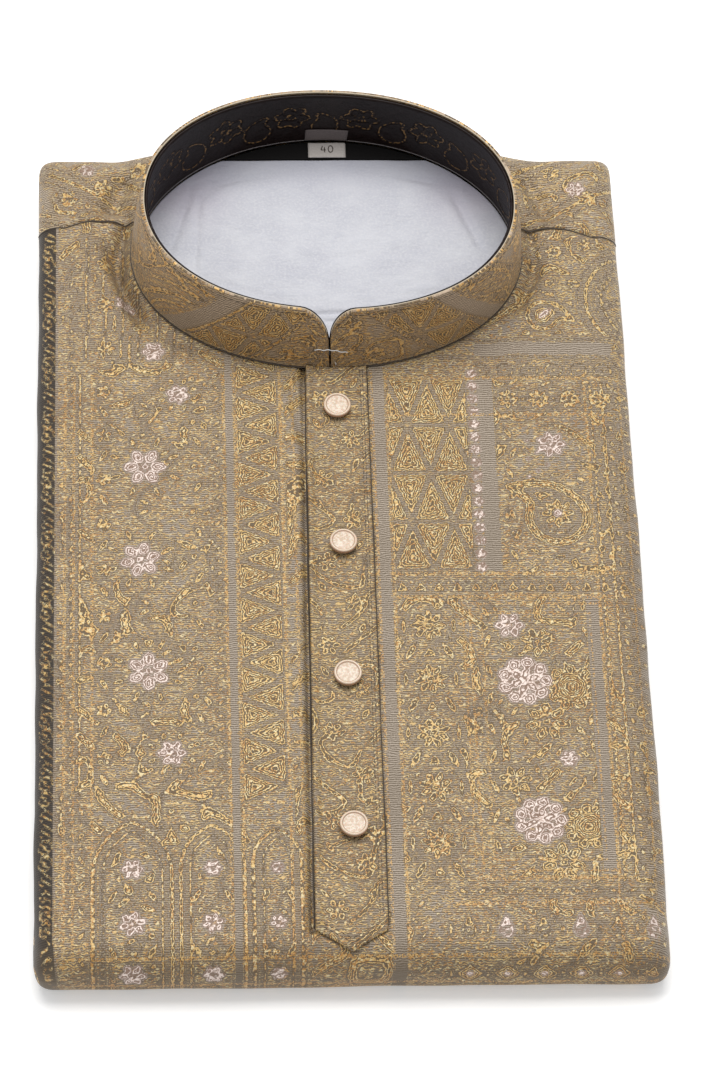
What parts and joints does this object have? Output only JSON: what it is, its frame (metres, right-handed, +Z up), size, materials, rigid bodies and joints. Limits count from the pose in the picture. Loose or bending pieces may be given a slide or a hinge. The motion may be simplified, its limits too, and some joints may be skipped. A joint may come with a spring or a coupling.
{
  "type": "folded kurta",
  "caption": "Brocade kurta folded flat, its band collar standing up as an oval ring above a buttoned placket with a pointed end.",
  "frame": {"origin": "on the surface the kurta lies on, under the middle of its bounding box", "axes": "+Z up from that surface, +Y along the folded length to the collar, +X to the right seen from the near end with the collar farthest away"},
  "size_m": [0.25, 0.407, 0.069],
  "materials": {
    "brocade": "silver-taupe ribbed brocade with antique gold, silver and brown figures",
    "satin": "dark brown satin with a soft gloss",
    "lining": "white nonwoven lining",
    "facing": "matt near-black cloth",
    "label": "off-white woven tape",
    "button": "cream with a raised rim and a mottled face"
  },
  "bodies": {
    "root": {"folded_layers": "brocade", "front_panel": "brocade", "back_yoke": "brocade", "collar_outer": "brocade", "collar_inner": "satin", "placket": "brocade", "neck_lining": "lining", "back_facing": "facing", "size_label": "label", "button_1": "button", "button_2": "button", "button_3": "button", "button_4": "button"}
  },
  "joints": []
}
